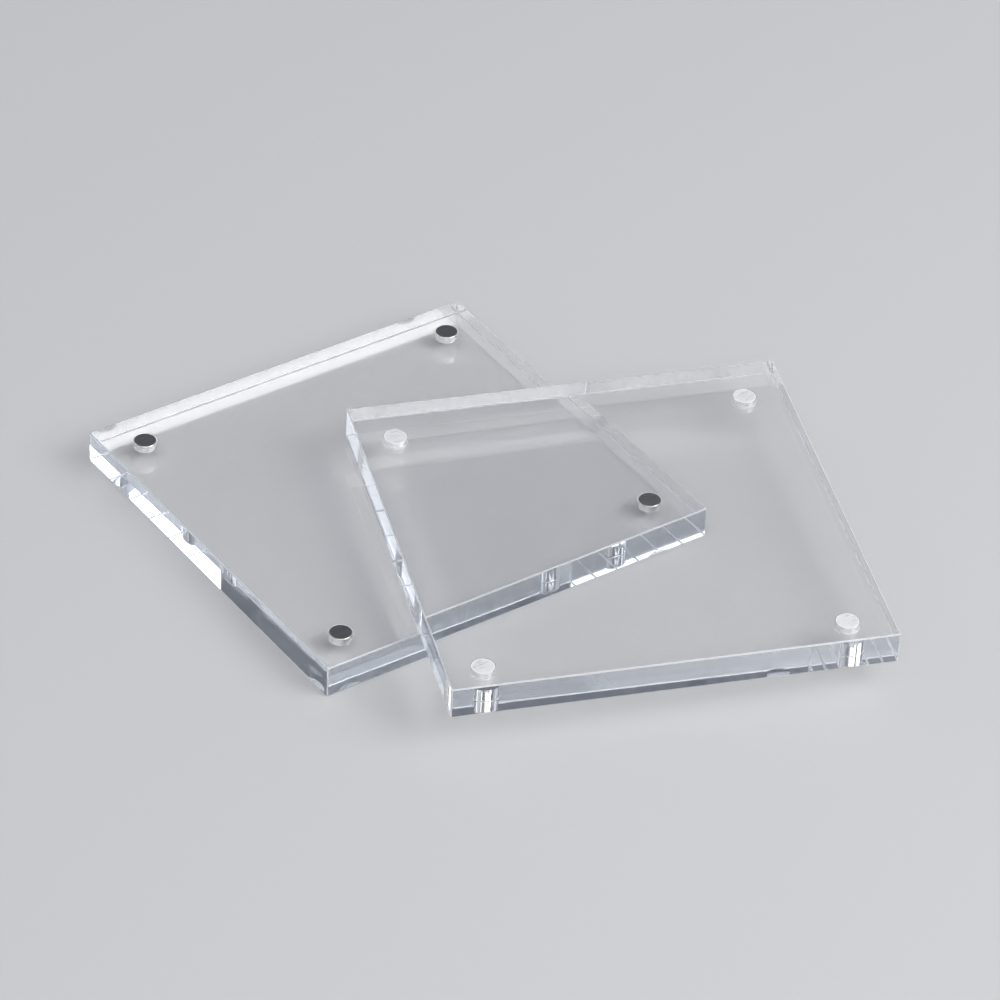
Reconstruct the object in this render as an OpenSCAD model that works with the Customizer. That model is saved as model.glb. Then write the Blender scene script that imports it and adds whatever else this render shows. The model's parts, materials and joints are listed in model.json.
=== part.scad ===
// Clear acrylic block photo frame: two square slabs that disc magnets hold
// together over a print. It is shown open, with the front panel laid across
// the rear panel's front right corner.
// Lengths are in millimetres and angles in degrees. The origin is the centre
// of the rear panel's underside, +X is right, +Y is back and +Z is up.

/* [Panels] */
// Length of each side of a square panel
panel_side = 152.4; // [100:0.1:300]
// Thickness of a panel, as cast sheet sold as 12 mm measures
panel_t = 11.7; // [9:0.1:25]
// Width of the polished bevel along every edge of a panel
panel_bevel = 0.4; // [0.1:0.1:1.2]

/* [Magnets] */
// Diameter of a disc magnet
magnet_d = 8; // [5:0.1:12]
// Height of a disc magnet
magnet_h = 5; // [2:0.1:7]
// Radius of the plated rim round each end of a magnet
magnet_rim = 0.4; // [0.1:0.05:0.8]
// Distance from a magnet's centre to each of the two panel edges beside it
magnet_inset = 14; // [12:0.1:40]
// Height by which a magnet stands out of its panel's inner face
magnet_proud = 0.25; // [0.05:0.05:0.5]

/* [Pockets] */
// Gap round a magnet in its blind pocket
pocket_gap = 0.1; // [0.05:0.05:0.4]
// Width of the bevel round a pocket's mouth
mouth_bevel = 0.15; // [0.05:0.05:0.4]
// Thickness of the adhesive between a magnet and its pocket's floor
adhesive_t = 0.2; // [0.1:0.05:0.6]

/* [Resting place] */
// Distance of the front panel's centre from the rear panel's right edge
lay_left = 34.1; // [20:0.1:50]
// Distance of the front panel's centre from the rear panel's front edge
lay_back = 4.4; // [1:0.1:8]
// Turn of the front panel, clockwise from above
lay_turn = 19.8; // [0:0.1:30]
// Gap left where the front panel would touch the rear one
rest_gap = 0.3; // [0.2:0.05:1]

/* [Hidden] */
$fn = 96;

// Every cut runs this far past the face that it opens.
overrun = 1;

// Corners of a panel, as signs along X and Y
top_left = [-1, 1];
top_right = [1, 1];
bottom_left = [-1, -1];
bottom_right = [1, -1];
corners = [top_left, top_right, bottom_left, bottom_right];

// Magnets and their pockets
magnet_r = magnet_d / 2;
magnet_flat_r = magnet_r - magnet_rim;
magnet_place = panel_side / 2 - magnet_inset;
pocket_r = magnet_r + pocket_gap;
pocket_depth = magnet_h - magnet_proud + adhesive_t;

// The front panel rests on the rear panel's front edge and on the magnet that
// stands proud behind it, which tips the front panel forwards.
seat_span = magnet_inset - magnet_flat_r - panel_bevel;
lay_tilt = atan(magnet_proud / seat_span);
lay_x = panel_side / 2 - lay_left;
lay_y = lay_back - panel_side / 2;
lay_z = panel_t + rest_gap + (lay_back - panel_bevel) * tan(lay_tilt);

// A rectangle round the origin with its four corners cut off by the bevel
module bevelled_rectangle(width, height) {
    x = width / 2;
    y = height / 2;
    polygon([
        [panel_bevel - x, -y],
        [x - panel_bevel, -y],
        [x, panel_bevel - y],
        [x, y - panel_bevel],
        [x - panel_bevel, y],
        [panel_bevel - x, y],
        [-x, y - panel_bevel],
        [-x, panel_bevel - y]
    ]);
}

// A square slab with all twelve edges bevelled. Its inner face lies on the
// plane of X and Y, with the slab below it.
module slab() {
    translate([0, 0, -panel_t / 2])
        intersection() {
            linear_extrude(height = panel_t, center = true)
                bevelled_rectangle(panel_side, panel_side);
            rotate([90, 0, 0])
                linear_extrude(height = panel_side, center = true)
                    bevelled_rectangle(panel_side, panel_t);
            rotate([90, 0, 90])
                linear_extrude(height = panel_side, center = true)
                    bevelled_rectangle(panel_side, panel_t);
        }
}

// A flat-bottomed blind hole with a bevelled mouth, cut down from the inner face
module pocket() {
    translate([0, 0, -pocket_depth])
        cylinder(r = pocket_r, h = pocket_depth + overrun);
    translate([0, 0, -mouth_bevel])
        cylinder(r1 = pocket_r, r2 = pocket_r + mouth_bevel + overrun, h = mouth_bevel + overrun);
}

// Carries a piece from the middle of the inner face to a corner's magnet
module at_corner(corner) {
    translate([corner[0] * magnet_place, corner[1] * magnet_place, 0])
        children();
}

// A panel with a pocket near each corner of its inner face
module panel() {
    color("aliceblue", 0.4)
        difference() {
            slab();
            for (corner = corners)
                at_corner(corner) pocket();
        }
}

// Half of a magnet's section, with round rims
module magnet_section() {
    square([magnet_flat_r, magnet_h]);
    translate([0, magnet_rim])
        square([magnet_r, magnet_h - 2 * magnet_rim]);
    for (height = [magnet_rim, magnet_h - magnet_rim])
        translate([magnet_flat_r, height])
            circle(r = magnet_rim, $fn = 32);
}

// A nickel-plated disc that stands proud of the inner face
module magnet(corner) {
    color("silver")
        at_corner(corner)
            translate([0, 0, magnet_proud - magnet_h])
                rotate_extrude()
                    magnet_section();
}

// The film of adhesive on the pocket's floor, as wide as the magnet
module adhesive(corner) {
    color("gainsboro")
        at_corner(corner)
            translate([0, 0, -pocket_depth])
                cylinder(r = magnet_r, h = adhesive_t);
}

// The rear panel lies on the table with its inner face up.
module rear_place() {
    translate([0, 0, panel_t])
        children();
}

// The front panel lies over it with its inner face down, turned and tipped.
module front_place() {
    translate([lay_x, lay_y, lay_z])
        rotate([lay_tilt, 0, 0])
            rotate([0, 0, -lay_turn])
                mirror([0, 0, 1])
                    children();
}

module rear_panel() {
    rear_place() panel();
}

module rear_magnet(corner) {
    rear_place() magnet(corner);
}

module rear_adhesive(corner) {
    rear_place() adhesive(corner);
}

module front_panel() {
    front_place() panel();
}

module front_magnet(corner) {
    front_place() magnet(corner);
}

module front_adhesive(corner) {
    front_place() adhesive(corner);
}

rear_panel();
rear_magnet(top_left);  // rear_magnet_top_left
rear_magnet(top_right);  // rear_magnet_top_right
rear_magnet(bottom_left);  // rear_magnet_bottom_left
rear_magnet(bottom_right);  // rear_magnet_bottom_right
rear_adhesive(top_left);  // rear_adhesive_top_left
rear_adhesive(top_right);  // rear_adhesive_top_right
rear_adhesive(bottom_left);  // rear_adhesive_bottom_left
rear_adhesive(bottom_right);  // rear_adhesive_bottom_right
front_panel();
front_magnet(top_left);  // front_magnet_top_left
front_magnet(top_right);  // front_magnet_top_right
front_magnet(bottom_left);  // front_magnet_bottom_left
front_magnet(bottom_right);  // front_magnet_bottom_right
front_adhesive(top_left);  // front_adhesive_top_left
front_adhesive(top_right);  // front_adhesive_top_right
front_adhesive(bottom_left);  // front_adhesive_bottom_left
front_adhesive(bottom_right);  // front_adhesive_bottom_right
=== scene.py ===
import json

import bmesh
import bpy
import numpy as np
from mathutils import Matrix, Vector

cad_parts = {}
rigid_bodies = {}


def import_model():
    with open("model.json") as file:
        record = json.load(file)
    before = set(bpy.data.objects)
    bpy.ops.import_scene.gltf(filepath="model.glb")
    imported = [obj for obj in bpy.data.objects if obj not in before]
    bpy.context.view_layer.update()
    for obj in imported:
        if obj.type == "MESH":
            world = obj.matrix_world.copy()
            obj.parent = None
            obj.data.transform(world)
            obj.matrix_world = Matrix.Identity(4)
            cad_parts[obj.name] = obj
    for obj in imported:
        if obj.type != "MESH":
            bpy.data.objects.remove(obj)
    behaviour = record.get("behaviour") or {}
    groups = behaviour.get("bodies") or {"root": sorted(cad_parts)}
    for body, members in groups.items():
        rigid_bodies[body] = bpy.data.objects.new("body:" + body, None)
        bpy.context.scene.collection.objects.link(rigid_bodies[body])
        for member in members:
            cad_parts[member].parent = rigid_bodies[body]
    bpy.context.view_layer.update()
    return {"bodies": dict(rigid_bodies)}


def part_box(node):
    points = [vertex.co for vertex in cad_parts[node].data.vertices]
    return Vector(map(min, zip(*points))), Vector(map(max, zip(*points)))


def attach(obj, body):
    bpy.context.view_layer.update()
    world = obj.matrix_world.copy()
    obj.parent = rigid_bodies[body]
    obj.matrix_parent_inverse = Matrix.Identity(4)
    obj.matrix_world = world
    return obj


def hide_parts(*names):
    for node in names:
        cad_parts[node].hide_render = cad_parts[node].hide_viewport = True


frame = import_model()
mm = 0.001
weld = 0.0005 * mm           # points nearer than this become one
tiny = 1e-9                  # keeps a ray off the axes, so that nothing is divided by nought
print("frame loaded")


# Camera, at the photograph's viewing angle

view = {
    "target": (0.03227, -0.01686, 0.0),  # the point of the table that it looks at
    "distance": 2.0435,
    "elevation": 37.08,                  # degrees above the table
    "turn": -35.42,                      # degrees round from straight ahead
    "roll": 2.46,
    "lens": 214.0,                       # mm
    "sensor": 36.0,                      # mm across
    "clip": (0.1, 50.0),                 # metres, the nearest and the farthest that it sees
}


def unit(v):
    # A vector over its own length
    return v / np.linalg.norm(v)


def makeCamera(facts):
    # It sits at target + distance * back, where back = (sin t cos e, -cos t cos e, sin e),
    # with its sides turned by the roll about that axis.
    e, t, r = np.radians([facts["elevation"], facts["turn"], facts["roll"]])
    back = np.array([np.sin(t) * np.cos(e), -np.cos(t) * np.cos(e), np.sin(e)])
    level = unit(np.cross([0, 0, 1], back))
    upright = np.cross(back, level)
    place = np.eye(4)
    place[:3, 0] = np.cos(r) * level + np.sin(r) * upright
    place[:3, 1] = np.cos(r) * upright - np.sin(r) * level
    place[:3, 2] = back
    place[:3, 3] = np.array(facts["target"]) + facts["distance"] * back
    data = bpy.data.cameras.new("camera")
    data.lens = facts["lens"]
    data.sensor_width = facts["sensor"]
    data.clip_start, data.clip_end = facts["clip"]
    camera = bpy.data.objects.new("camera", data)
    camera.matrix_world = Matrix(place.tolist())
    bpy.context.scene.collection.objects.link(camera)
    bpy.context.scene.camera = camera


makeCamera(view)
print("camera placed")


# Sizes and places, read off the frame

corners = {                  # as signs along X and Y
    "top_left": (-1, 1),
    "top_right": (1, 1),
    "bottom_left": (-1, -1),
    "bottom_right": (1, -1),
}


def centreOf(node):
    # Half way between the box's lowest and highest corners
    low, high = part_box(node)
    return (np.array(low) + np.array(high)) / 2


def sizeOf(node):
    # Highest corner less lowest corner
    low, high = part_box(node)
    return np.array(high) - np.array(low)


panelSide, _, panelThick = sizeOf("rear_panel")
magnetRadius = sizeOf("rear_magnet_top_left")[0] / 2
magnetHeight = sizeOf("rear_magnet_top_left")[2]
filmThick = sizeOf("rear_adhesive_top_left")[2]
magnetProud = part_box("rear_magnet_top_left")[1][2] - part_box("rear_panel")[1][2]
magnetPlace = centreOf("rear_magnet_top_right")[0] - centreOf("rear_panel")[0]
pocketFloor = magnetProud - magnetHeight - filmThick


def placeOf(body):
    # The middle of a panel's inner face is the mean of its magnets' centres, carried out along
    # the way from the adhesive to the magnets. Its axes run from magnet to magnet.
    magnets = {c: centreOf(f"{body}_magnet_{c}") for c in corners}
    films = [centreOf(f"{body}_adhesive_{c}") for c in corners]
    middle = np.mean(list(magnets.values()), axis=0)
    out = unit(middle - np.mean(films, axis=0))
    return {
        "middle": middle + out * (magnetHeight / 2 - magnetProud),
        "x": unit(magnets["top_right"] - magnets["top_left"]),
        "y": unit(magnets["top_left"] - magnets["bottom_left"]),
        "out": out,
    }


places = {body: placeOf(body) for body in frame["bodies"]}
print("places read")


# Mesh making. A patch is a grid of points in the inner face's own axes, with a place on the
# surface in metres for each point, and a finish for each row of faces.

cast, edge, bevel, pocket = (0, 0, 0), (1, 0, 0), (0, 1, 0), (0, 0, 1)


def patch(points, surface, finishes):
    # Face (i, j) joins points (i, j), (i, j+1), (i+1, j+1) and (i+1, j), and has row i's finish.
    rows, cols = points.shape[:2]
    index = np.arange(rows * cols).reshape(rows, cols)
    faces = np.stack([index[:-1, :-1], index[:-1, 1:], index[1:, 1:], index[1:, :-1]], axis=-1)
    finish = np.broadcast_to(np.array(finishes, float)[:, None], (rows - 1, cols - 1, 3))
    return {
        "points": points.reshape(-1, 3),
        "surface": np.broadcast_to(surface, (rows, cols, 2)).reshape(-1, 2),
        "faces": faces.reshape(-1, 4),
        "finish": finish.reshape(-1, 3).copy(),
    }


def makePiece(name, patches, body, replaced, material, sharp):
    # Local (x, y, z) becomes middle + x * X + y * Y + z * out. Points that meet are then merged,
    # faces are turned outwards, and an edge that bends by more than sharp degrees stays sharp.
    starts = np.cumsum([0] + [len(p["points"]) for p in patches[:-1]])
    points = np.concatenate([p["points"] for p in patches])
    surface = np.concatenate([p["surface"] for p in patches])
    finish = np.concatenate([p["finish"] for p in patches])
    faces = np.concatenate([p["faces"] + start for p, start in zip(patches, starts)])
    place = places[body]
    points = points @ np.stack([place["x"], place["y"], place["out"]]) + place["middle"]
    mesh = bpy.data.meshes.new(name)
    mesh.from_pydata(points.tolist(), [], faces.tolist())
    surfaceMap = mesh.uv_layers.new(name="surface")
    surfaceMap.data.foreach_set("uv", surface[faces.ravel()].ravel())
    finishes = mesh.attributes.new("finish", "FLOAT_VECTOR", "FACE")
    finishes.data.foreach_set("vector", finish.ravel())
    build = bmesh.new()
    build.from_mesh(mesh)
    bmesh.ops.remove_doubles(build, verts=build.verts, dist=weld)
    bmesh.ops.recalc_face_normals(build, faces=build.faces)
    build.to_mesh(mesh)
    build.free()
    mesh.polygons.foreach_set("use_smooth", np.ones(len(mesh.polygons), bool))
    mesh.set_sharp_from_angle(angle=np.radians(sharp))
    mesh.materials.append(material)
    piece = bpy.data.objects.new(name, mesh)
    bpy.context.scene.collection.objects.link(piece)
    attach(piece, body)
    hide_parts(replaced)


# Materials

def colour(text):
    # An sRGB hex value as linear light: c / 12.92 where it is low, and above that
    # ((c + 0.055) / 1.055) ^ 2.4
    c = np.array([int(text[i:i + 2], 16) for i in (1, 3, 5)]) / 255
    return (*np.where(c <= 0.04045, c / 12.92, ((c + 0.055) / 1.055) ** 2.4).tolist(), 1)


def addNode(tree, kind, inputs=None, **settings):
    # Adds a node with its settings, and gives each input, by its name or number, a value or a
    # link. A link comes from the output that is given, or from the first output of the node that
    # is given. A Map Range takes a value, the two ends that it runs between and what it gives at
    # them. A Mix of colours takes the share of the second, and has them as 6 and 7.
    node = tree.nodes.new(kind)
    for name, value in settings.items():
        setattr(node, name, value)
    for key, value in (inputs or {}).items():
        if isinstance(value, bpy.types.Node):
            value = value.outputs[0]
        if isinstance(value, bpy.types.NodeSocket):
            tree.links.new(value, node.inputs[key])
        else:
            node.inputs[key].default_value = value
    return node


def newTree(name):
    # An empty material of that name, and its node tree
    material = bpy.data.materials.new(name)
    material.use_nodes = True
    material.node_tree.nodes.clear()
    return material, material.node_tree


def layPatterns(tree, coords, patterns):
    # Each pattern is a noise of its own size. It is first turned about Z, and is then drawn out
    # by the stretch along its own axes.
    laid = {}
    for name, (source, size, stretch, turn, detail) in patterns.items():
        place = addNode(tree, "ShaderNodeMapping", {
            "Vector": coords.outputs[source], "Scale": stretch, "Rotation": (0, 0, turn),
        }, vector_type="TEXTURE")
        laid[name] = addNode(tree, "ShaderNodeTexNoise", {
            "Vector": place, "Scale": 1 / size, "Detail": detail})
    return laid


acrylic = {
    "ior": 1.49,
    "surface": "#FFFFFF",      # the tint is in the depth of the sheet
    "tint": "#C9D6E6",         # what a long way through the sheet does to white
    "tintDensity": 2.5,        # per metre
    "edgeRough": 0.02,         # cut, then polished with a diamond
    "bevelRough": 0.35,        # scraped and only buffed, so it scatters
    "pocketRough": 0.05,       # milled, then wetted by the adhesive
    "markRough": 0.05,         # wiped with a cloth or touched by a finger
    "bevelWhite": 0.5,         # the share of a bevel that its scratches turn white
    "edgeWhite": 0.025,        # the same where the cutter's streaks are strongest
    "markWhite": 0.05,         # and in a mark
    "slowHeight": 0.006 * mm,
    "waveHeight": 0.0015 * mm,
    "lineHeight": 0.0004 * mm,
    "ring": 0.8 * mm,          # between the mill's rings in a pocket, finer on the real one
    "ringHeight": 0.004 * mm,
    "marked": (0.68, 0.78),    # the noise at which a mark begins, and is full
    "specked": (0.5, 0.65),    # the same for the specks of a finger's mark
    "streaked": (0.45, 0.75),  # and for the cutter's streaks
    "streak": (0.2, 1.6),      # how strong a streak is at these two
    "patterns": {              # coordinates, size, stretch, turn in radians and detail
        "slow": ("Object", 30 * mm, (1, 1, 1), 0, 1),   # slow waves in the whole sheet
        "waves": ("UV", 9 * mm, (1, 8, 1), 0, 2),       # and shorter ones along an edge
        "lines": ("UV", 1.6 * mm, (1, 8, 1), 0, 3),     # the cutter's, finer on the real edge
        "wiped": ("UV", 0.5 * mm, (40, 1, 1), 0.6, 1),  # faint hairlines that a cloth leaves
        "touched": ("UV", 18 * mm, (1, 1, 1), 0, 0),    # patches that a finger leaves
        "skin": ("UV", 0.5 * mm, (1, 3, 1), 0.4, 2),    # and the specks in them
    },
}


def castAcrylic(facts):
    # Cast acrylic sheet, PMMA: the faces are clear and nearly flat, with faint marks of a cloth
    # and of fingers. The diamond polished edges carry upright lines and waves, the buffed bevels
    # are pale satin lines, and the milled pockets have rings.
    material, tree = newTree("cast_acrylic")
    coords = addNode(tree, "ShaderNodeTexCoord")
    finish = addNode(tree, "ShaderNodeAttribute", attribute_name="finish").outputs["Vector"]
    onEdge, onBevel, inPocket = addNode(tree, "ShaderNodeSeparateXYZ", {0: finish}).outputs
    laid = layPatterns(tree, coords, facts["patterns"])

    # Height: the slow waves everywhere, plus the waves and lines on an edge, plus the rings in
    # a pocket, sin(2 pi z / ring)
    slow = addNode(tree, "ShaderNodeMath", {
        0: laid["slow"], 1: facts["slowHeight"]}, operation="MULTIPLY")
    waves = addNode(tree, "ShaderNodeMath", {
        0: laid["waves"], 1: facts["waveHeight"]}, operation="MULTIPLY")
    lines = addNode(tree, "ShaderNodeMath", {
        0: laid["lines"], 1: facts["lineHeight"], 2: waves}, operation="MULTIPLY_ADD")
    upright = addNode(tree, "ShaderNodeSeparateXYZ", {0: coords.outputs["Object"]}).outputs[2]
    turns = addNode(tree, "ShaderNodeMath", {
        0: upright, 1: 2 * np.pi / facts["ring"]}, operation="MULTIPLY")
    rings = addNode(tree, "ShaderNodeMath", {0: turns}, operation="SINE")
    rings = addNode(tree, "ShaderNodeMath", {
        0: rings, 1: facts["ringHeight"]}, operation="MULTIPLY")
    height = addNode(tree, "ShaderNodeMath", {
        0: lines, 1: onEdge, 2: slow}, operation="MULTIPLY_ADD")
    height = addNode(tree, "ShaderNodeMath", {
        0: rings, 1: inPocket, 2: height}, operation="MULTIPLY_ADD")
    bump = addNode(tree, "ShaderNodeBump", {"Height": height, "Distance": 1.0})

    # Marks: a cloth's hairlines, or a finger's patches times the specks in them, where the face
    # is as it was cast
    begins, full = facts["marked"]
    hairlines = addNode(tree, "ShaderNodeMapRange", {0: laid["wiped"], 1: begins, 2: full})
    prints = addNode(tree, "ShaderNodeMapRange", {0: laid["touched"], 1: begins, 2: full})
    begins, full = facts["specked"]
    specks = addNode(tree, "ShaderNodeMapRange", {0: laid["skin"], 1: begins, 2: full})
    prints = addNode(tree, "ShaderNodeMath", {0: prints, 1: specks}, operation="MULTIPLY")
    marks = addNode(tree, "ShaderNodeMath", {0: hairlines, 1: prints}, operation="MAXIMUM")
    worked = addNode(tree, "ShaderNodeMath", {0: onEdge, 1: onBevel}, operation="ADD")
    worked = addNode(tree, "ShaderNodeMath", {0: worked, 1: inPocket}, operation="ADD")
    asCast = addNode(tree, "ShaderNodeMath", {0: 1, 1: worked}, operation="SUBTRACT")
    marks = addNode(tree, "ShaderNodeMath", {0: marks, 1: asCast}, operation="MULTIPLY")

    # Streaks: the cutter's lines once more, on an edge
    begins, full = facts["streaked"]
    faint, strong = facts["streak"]
    streaks = addNode(tree, "ShaderNodeMapRange", {
        0: laid["lines"], 1: begins, 2: full, 3: faint, 4: strong})
    streaks = addNode(tree, "ShaderNodeMath", {0: streaks, 1: onEdge}, operation="MULTIPLY")

    # Roughness and the share that is white: each is the sum over the finishes of how much there
    # is of one times its own value
    finishes = [
        (marks, facts["markRough"], facts["markWhite"]),
        (streaks, facts["edgeRough"], facts["edgeWhite"] / strong),
        (onBevel, facts["bevelRough"], facts["bevelWhite"]),
        (inPocket, facts["pocketRough"], 0),
    ]
    rough, white = 0, 0
    for amount, ownRough, ownWhite in finishes:
        rough = addNode(tree, "ShaderNodeMath", {
            0: amount, 1: ownRough, 2: rough}, operation="MULTIPLY_ADD")
        white = addNode(tree, "ShaderNodeMath", {
            0: amount, 1: ownWhite, 2: white}, operation="MULTIPLY_ADD")
    clear = addNode(tree, "ShaderNodeMath", {0: 1, 1: white}, operation="SUBTRACT")

    shader = addNode(tree, "ShaderNodeBsdfPrincipled", {
        "Base Color": colour(facts["surface"]), "Roughness": rough, "Normal": bump,
        "IOR": facts["ior"], "Transmission Weight": clear})
    inside = addNode(tree, "ShaderNodeVolumeAbsorption", {
        "Color": colour(facts["tint"]), "Density": facts["tintDensity"]})
    addNode(tree, "ShaderNodeOutputMaterial", {"Surface": shader, "Volume": inside})
    return material


nickel = {
    "plate": "#DEDCD8",
    "dull": "#C2BFB9",         # where the plate is thin or handled
    "dulled": (0.45, 0.85),    # the noise at which it begins to dull, and is dull
    "rough": (0.07, 0.17),
    "roughened": (0.3, 0.7),   # the noise at which it is smoothest, and roughest
    "lineHeight": 0.0008 * mm,
    "peelHeight": 0.0025 * mm,
    "patterns": {              # coordinates, size, stretch, turn in radians and detail
        "lines": ("Object", 0.45 * mm, (1 / 0.06, 1, 1), 0, 3),  # lapping, finer on the real one
        "peel": ("Object", 0.7 * mm, (1, 1, 1), 0, 1),           # the plate's slight orange peel
    },
}


def brightNickel(facts):
    # Bright nickel plate on a ground magnet: a neutral grey mirror, blurred by fine lapping lines
    # and a slight orange peel, so that it shows its surroundings soft but dark.
    material, tree = newTree("bright_nickel_plate")
    coords = addNode(tree, "ShaderNodeTexCoord")
    laid = layPatterns(tree, coords, facts["patterns"])
    begins, full = facts["roughened"]
    least, most = facts["rough"]
    rough = addNode(tree, "ShaderNodeMapRange", {
        0: laid["lines"], 1: begins, 2: full, 3: least, 4: most})
    begins, full = facts["dulled"]
    shade = addNode(tree, "ShaderNodeMapRange", {0: laid["lines"], 1: begins, 2: full})
    tone = addNode(tree, "ShaderNodeMix", {
        0: shade, 6: colour(facts["plate"]), 7: colour(facts["dull"])}, data_type="RGBA")
    lines = addNode(tree, "ShaderNodeMath", {
        0: laid["lines"], 1: facts["lineHeight"]}, operation="MULTIPLY")
    height = addNode(tree, "ShaderNodeMath", {
        0: laid["peel"], 1: facts["peelHeight"], 2: lines}, operation="MULTIPLY_ADD")
    bump = addNode(tree, "ShaderNodeBump", {"Height": height, "Distance": 1.0})
    shader = addNode(tree, "ShaderNodeBsdfPrincipled", {
        "Base Color": tone.outputs[2], "Roughness": rough, "Normal": bump, "Metallic": 1.0})
    addNode(tree, "ShaderNodeOutputMaterial", {"Surface": shader})
    return material


adhesive = {
    "ior": 1.48,
    "film": "#F0F1F2",
    "thin": "#A4A8AC",         # where the film is thin over the plate
    "thinned": (0.5, 0.8),     # the noise at which it begins to thin, and is thin
    "bead": "#FFFFFF",         # the thick bead that is squeezed out round it
    "rough": (0.35, 0.6),
    "roughened": (0.3, 0.7),   # the noise at which it is smoothest, and roughest
    "streakHeight": 0.01 * mm,
    "patterns": {              # coordinates, size, stretch, turn in radians and detail
        "streaks": ("Object", 0.6 * mm, (1 / 0.15, 1, 1), 0, 2),  # drawn by the cutter
    },
}


def curedAdhesive(facts):
    # Cured acrylic adhesive, spread on a milled floor: a cloudy, nearly white film with fine
    # streaks from the cutter, and no mirror of its own. What has the bevel's finish is the bead.
    material, tree = newTree("cured_adhesive")
    coords = addNode(tree, "ShaderNodeTexCoord")
    streaks = layPatterns(tree, coords, facts["patterns"])["streaks"]
    begins, full = facts["thinned"]
    shade = addNode(tree, "ShaderNodeMapRange", {0: streaks, 1: begins, 2: full})
    tone = addNode(tree, "ShaderNodeMix", {
        0: shade, 6: colour(facts["film"]), 7: colour(facts["thin"])}, data_type="RGBA")
    finish = addNode(tree, "ShaderNodeAttribute", attribute_name="finish").outputs["Vector"]
    onBead = addNode(tree, "ShaderNodeSeparateXYZ", {0: finish}).outputs[1]
    tone = addNode(tree, "ShaderNodeMix", {
        0: onBead, 6: tone.outputs[2], 7: colour(facts["bead"])}, data_type="RGBA")
    begins, full = facts["roughened"]
    least, most = facts["rough"]
    rough = addNode(tree, "ShaderNodeMapRange", {
        0: streaks, 1: begins, 2: full, 3: least, 4: most})
    height = addNode(tree, "ShaderNodeMath", {
        0: streaks, 1: facts["streakHeight"]}, operation="MULTIPLY")
    bump = addNode(tree, "ShaderNodeBump", {"Height": height, "Distance": 1.0})
    shader = addNode(tree, "ShaderNodeBsdfPrincipled", {
        "Base Color": tone.outputs[2], "Roughness": rough, "Normal": bump, "IOR": facts["ior"]})
    addNode(tree, "ShaderNodeOutputMaterial", {"Surface": shader})
    return material


clearSheet = castAcrylic(acrylic)
nickelPlate = brightNickel(nickel)
adhesiveFilm = curedAdhesive(adhesive)
print("materials made")


# Panels

panel = {
    "bevel": 0.4 * mm,       # width of the bevel on every edge
    "mouth": 0.15 * mm,      # width of the bevel round each pocket
    "gap": 0.1 * mm,         # between a pocket's wall and its magnet
    "outwards": 40,          # steps from the middle of an outer edge to its corner
    "inwards": 20,           # and along each inner side of a quarter
    "sharp": 30,             # degrees, the least bend of an edge that stays sharp
}
flatHalf = panelSide / 2 - panel["bevel"]
pocketCentre = np.array([magnetPlace, magnetPlace])


def quarterRim():
    # Angles round the pocket's centre, and the point of the quarter's square outline on each ray:
    # centre + ray * s, with s the least that reaches a side.
    square = np.array([[flatHalf, 0], [flatHalf, flatHalf], [0, flatHalf], [0, 0], [flatHalf, 0]])
    spokes = square - pocketCentre
    knots = np.unwrap(np.arctan2(spokes[:, 1], spokes[:, 0]))
    steps = [panel["outwards"], panel["outwards"], panel["inwards"], panel["inwards"]]
    parts = [np.linspace(a, b, n, endpoint=False) for a, b, n in zip(knots[:-1], knots[1:], steps)]
    angles = np.concatenate(parts + [knots[-1:]])
    ray = np.stack([np.cos(angles), np.sin(angles)], axis=1)
    ray[np.abs(ray) < tiny] = tiny
    reach = np.where(ray > 0, flatHalf - pocketCentre, -pocketCentre) / ray
    return angles, pocketCentre + ray * reach.min(axis=1)[:, None]


def innerQuarter(signs):
    # Rings from the square outline to the pocket's mouth, down its wall and in to the middle of
    # its floor: each ring is centre + r * (cos a, sin a) at its own height.
    angles, rim = quarterRim()
    circle = np.stack([np.cos(angles), np.sin(angles)], axis=1)
    wall = magnetRadius + panel["gap"]
    mouth = panel["mouth"]
    profile = [(wall + mouth, 0), (wall, -mouth), (wall, pocketFloor), (0, pocketFloor)]
    rings = [(rim, 0)] + [(pocketCentre + circle * r, z) for r, z in profile]
    points = np.stack([np.column_stack([ring, np.full(len(ring), z)]) for ring, z in rings])
    points = points * np.array([*signs, 1])
    return patch(points, points[..., :2], [cast, bevel, pocket, pocket])


def fourTimes(part):
    # A run of points or ways along the first quarter of the panel, turned to all four quarters
    turns = [np.array([[c, -s], [s, c]]) for c, s in ((1, 0), (0, 1), (-1, 0), (0, -1))]
    return np.concatenate([part @ turn.T for turn in turns])


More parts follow.
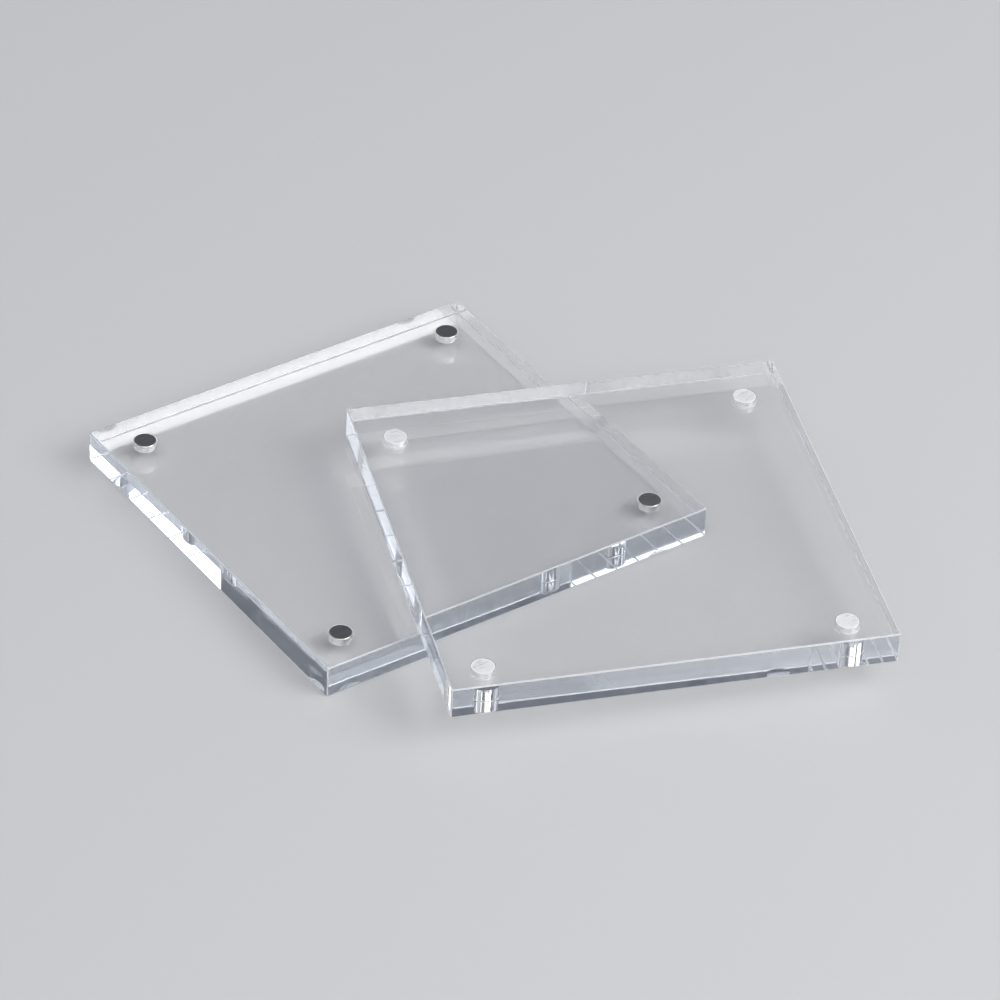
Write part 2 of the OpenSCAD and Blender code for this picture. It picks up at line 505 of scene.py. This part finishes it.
def slabShell():
    # The slab's outside, as rings down its profile: out by the bevel over the bevel's height,
    # straight down the edge, and back in. A corner comes three times in each ring. The three meet
    # half way down the bevel, where its three bevels do, and part to the upright bevel's two
    # sides and middle.
    rim = quarterRim()[1]
    n = panel["outwards"]
    line = fourTimes(np.concatenate([rim[:n + 1], rim[n:n + 1], rim[n:2 * n + 1]]))
    towardsX = np.r_[np.ones(n + 1), 0.5, np.zeros(n + 1)]
    outward = fourTimes(np.stack([towardsX, 1 - towardsX], axis=1))
    meetX = np.r_[np.ones(n), 1, 1, 1, np.zeros(n)]
    meetY = np.r_[np.zeros(n), 1, 1, 1, np.ones(n)]
    meeting = fourTimes(np.stack([meetX, meetY], axis=1))
    b, t = panel["bevel"], panelThick
    rings = [(line, 0), (line + meeting * b / 2, -b / 2), (line + outward * b, -b),
             (line + outward * b, b - t), (line + meeting * b / 2, b / 2 - t), (line, -t)]
    points = np.stack([np.column_stack([ring, np.full(len(ring), z)]) for ring, z in rings])
    points = np.concatenate([points, points[:, :1]], axis=1)
    along = np.r_[0, np.cumsum(np.linalg.norm(np.diff(points[2], axis=0), axis=1))]
    surface = np.stack([np.broadcast_to(along, points.shape[:2]), points[..., 2]], axis=-1)
    shell = patch(points, surface, [bevel, bevel, edge, bevel, bevel])

    # In the edge's row of faces, the two at each corner are the upright bevel's
    quarter = 2 * n + 3
    upright = [2 * len(line) + q * quarter + n + k for q in range(4) for k in (0, 1)]
    shell["finish"][upright] = bevel
    face = np.stack([points[-1], points[-1] * np.array([0, 0, 1])])
    return [shell, patch(face, face[..., :2], [cast])]


for body in places:
    patches = [innerQuarter(signs) for signs in corners.values()] + slabShell()
    makePiece(f"{body}_slab", patches, body, f"{body}_panel", clearSheet,
              panel["sharp"])
print("panels made")


# Magnets, and the adhesive under them

disc = {
    "steps": 96,             # round the disc
    "sharp": 40,             # degrees, the least bend of an edge that stays sharp
    "rim": 0.4 * mm,         # radius of the plated rim at each end
    "rimSteps": 8,
    "flatShare": 0.98,       # of a flat end's radius, a ring of points that keeps its shading flat
    "filmRadius": 3.93 * mm,
    "filmWander": 0.04 * mm, # how unevenly the film has spread
    "filmWaves": ((3, 1.0, 1.0), (5, 0.6, 2.3), (8, 0.4, 4.1)),  # number round it, share, shift
    "filmPhases": (1.0, 1.7, 0.9),  # the first film's, and what each corner and panel adds to it
    "softShare": 0.25,       # of the film's height, rounded at its edge
    "bead": 0.35 * mm,       # width of the bead round the film
    "clear": 0.004 * mm,     # kept between the film and what it lies on
}
discAngles = np.linspace(0, 2 * np.pi, disc["steps"] + 1)


def lathe(radii, heights, signs, finishes=None):
    # Each profile point (r, z) goes round as centre + (r cos a, r sin a, z). The radii may differ
    # with the angle.
    radii = np.array(radii).reshape(len(radii), -1)
    radii = np.broadcast_to(radii, (len(radii), len(discAngles)))
    heights = np.broadcast_to(np.array(heights)[:, None], radii.shape)
    centre = np.array(signs) * magnetPlace
    x = centre[0] + radii * np.cos(discAngles)
    y = centre[1] + radii * np.sin(discAngles)
    points = np.stack([x, y, heights], axis=-1)
    return patch(points, points[..., :2], finishes or [cast] * (len(radii) - 1))


def makeMagnet(body, corner, signs):
    # Profile: the flat end, a quarter circle of the rim's radius, the side, and the same again
    rim, flat = disc["rim"], magnetRadius - disc["rim"]
    ring = flat * disc["flatShare"]
    low, high = magnetProud - magnetHeight, magnetProud
    bend = np.linspace(0, np.pi / 2, disc["rimSteps"] + 1)
    sine, cosine = rim * np.sin(bend), rim * np.cos(bend)
    radii = np.r_[0, ring, flat + sine, flat + cosine, ring, 0]
    heights = np.r_[low, low, low + rim - cosine, high - rim + sine, high, high]
    makePiece(f"{body}_disc_{corner}", [lathe(radii, heights, signs)], body,
              f"{body}_magnet_{corner}", nickelPlate, disc["sharp"])


def makeFilm(body, corner, signs, phase):
    # Radius: the film's own plus the wander times the mean of a few waves round it, weighted by
    # their shares. A wave is sin(number * a + shift * phase), and the phase differs from film to
    # film. From the edge in, the bevel's finish marks the bead.
    waves = disc["filmWaves"]
    wander = sum(share * np.sin(number * discAngles + shift * phase)
                 for number, share, shift in waves)
    outline = disc["filmRadius"] + disc["filmWander"] * wander / sum(wave[1] for wave in waves)
    low, high = pocketFloor + disc["clear"], pocketFloor + filmThick - disc["clear"]
    soft = disc["softShare"] * (high - low)
    inset = np.array([disc["bead"], soft, 0, 0, soft, disc["bead"]])
    middle = np.zeros((1, len(outline)))
    radii = np.concatenate([middle, outline - inset[:, None], middle])
    heights = [low, low, low, low + soft, high - soft, high, high, high]
    finishes = [cast] + [bevel] * 5 + [cast]
    makePiece(f"{body}_film_{corner}", [lathe(radii, heights, signs, finishes)], body,
              f"{body}_adhesive_{corner}", adhesiveFilm, disc["sharp"])


firstPhase, cornerPhase, panelPhase = disc["filmPhases"]
for panelNumber, body in enumerate(places):
    for cornerNumber, (corner, signs) in enumerate(corners.items()):
        phase = firstPhase + cornerPhase * cornerNumber + panelPhase * panelNumber
        makeMagnet(body, corner, signs)
        makeFilm(body, corner, signs, phase)
print("magnets and adhesive made")


# Floor, lamps and surroundings

studio = {
    "floorHalf": 4.0,        # metres
    "floorDrop": 0.2 * mm,   # the slab's underside isn't wetted by the floor
    "floor": "#CACACB",
    "floorRough": 0.9,
    "floorShine": 0.15,
    "horizon": "#EEEEEF",
    "zenith": "#BEC0C4",
    "rise": (0.05, 0.8),     # how high a ray of length one is where the one turns into the other
    "card": "#5C6068",       # a dark card beyond the table, which gives the mirrors their depth
    "cardWay": (54.6, 37),   # azimuth and elevation of its middle
    "cardReach": (42, 22),   # degrees from its middle to where it begins and is full
    "bounces": 96,           # light turns back many times inside a clear slab before it leaves
}
lamps = {                    # azimuth, elevation, distance, size and radiance
    "key": (-54, 38, 2.0, (1.5, 1.2), 3.6),     # seen in the rear panel's left edge
    "side": (-95, 38, 3.0, (1.0, 0.6), 1.0),    # seen in the front panel's edges
    "front": (-126, 38, 3.0, (1.6, 0.7), 2.2),  # from behind the camera, on the magnets' sides
    "back": (125, 37, 3.0, (0.9, 0.7), 1.5),    # seen in the rear panel's front edge
    "fill": (-110, 68, 3.0, (3.6, 2.4), 0.62),  # high and wide, for soft shadows
}


def wayTo(azimuth, elevation):
    # (cos a cos e, sin a cos e, sin e)
    a, e = np.radians([azimuth, elevation])
    return np.array([np.cos(a) * np.cos(e), np.sin(a) * np.cos(e), np.sin(e)])


def makeFloor(facts):
    # Board rolled with matt paint: a plain pale grey with hardly any shine. It is a square of
    # side 2 h, lowered by the drop.
    h = facts["floorHalf"]
    mesh = bpy.data.meshes.new("floor")
    mesh.from_pydata([(-h, -h, 0), (h, -h, 0), (h, h, 0), (-h, h, 0)], [], [(0, 1, 2, 3)])
    material, tree = newTree("matt_painted_board")
    shader = addNode(tree, "ShaderNodeBsdfPrincipled", {
        "Base Color": colour(facts["floor"]), "Roughness": facts["floorRough"],
        "Specular IOR Level": facts["floorShine"]})
    addNode(tree, "ShaderNodeOutputMaterial", {"Surface": shader})
    mesh.materials.append(material)
    floor = bpy.data.objects.new("floor", mesh)
    floor.location.z = -facts["floorDrop"]
    bpy.context.scene.collection.objects.link(floor)


def makeLamp(name, azimuth, elevation, distance, size, radiance):
    # It sits at distance * the way to it and faces the origin. Its power is pi * radiance * area.
    spot = distance * wayTo(azimuth, elevation)
    data = bpy.data.lights.new(name, "AREA")
    data.shape = "RECTANGLE"
    data.size, data.size_y = size
    data.energy = np.pi * radiance * size[0] * size[1]
    lamp = bpy.data.objects.new(name, data)
    lamp.location = spot
    lamp.rotation_euler = (-Vector(spot)).to_track_quat("-Z", "Y").to_euler()
    bpy.context.scene.collection.objects.link(lamp)


def makeWorld(facts):
    # The colour goes from the horizon's to the zenith's by a smooth step over the ray's rise,
    # and to the card's over the cosine of the ray's angle from the card's middle.
    world = bpy.data.worlds.new("studio")
    world.use_nodes = True
    tree = world.node_tree
    tree.nodes.clear()
    ray = addNode(tree, "ShaderNodeTexCoord").outputs["Generated"]
    upright = addNode(tree, "ShaderNodeSeparateXYZ", {0: ray}).outputs[2]
    begins, full = facts["rise"]
    rise = addNode(tree, "ShaderNodeMapRange", {
        0: upright, 1: begins, 2: full}, interpolation_type="SMOOTHSTEP")
    sky = addNode(tree, "ShaderNodeMix", {
        0: rise, 6: colour(facts["horizon"]), 7: colour(facts["zenith"])}, data_type="RGBA")
    nearness = addNode(tree, "ShaderNodeVectorMath", {
        0: ray, 1: wayTo(*facts["cardWay"]).tolist()}, operation="DOT_PRODUCT")
    begins, full = np.cos(np.radians(facts["cardReach"])).tolist()
    dark = addNode(tree, "ShaderNodeMapRange", {
        0: nearness.outputs["Value"], 1: begins, 2: full}, interpolation_type="SMOOTHSTEP")
    sky = addNode(tree, "ShaderNodeMix", {
        0: dark, 6: sky.outputs[2], 7: colour(facts["card"])}, data_type="RGBA")
    shine = addNode(tree, "ShaderNodeBackground", {"Color": sky.outputs[2]})
    addNode(tree, "ShaderNodeOutputWorld", {"Surface": shine})
    bpy.context.scene.world = world


makeFloor(studio)
makeWorld(studio)
for name, facts in lamps.items():
    makeLamp(name, *facts)
bpy.context.scene.view_settings.view_transform = "Standard"
paths = bpy.context.scene.cycles
paths.max_bounces = studio["bounces"]
paths.glossy_bounces = studio["bounces"]
paths.transmission_bounces = studio["bounces"]
paths.blur_glossy = 0        # keeps what shows in the clear edges crisp
print("floor, lamps and surroundings made")
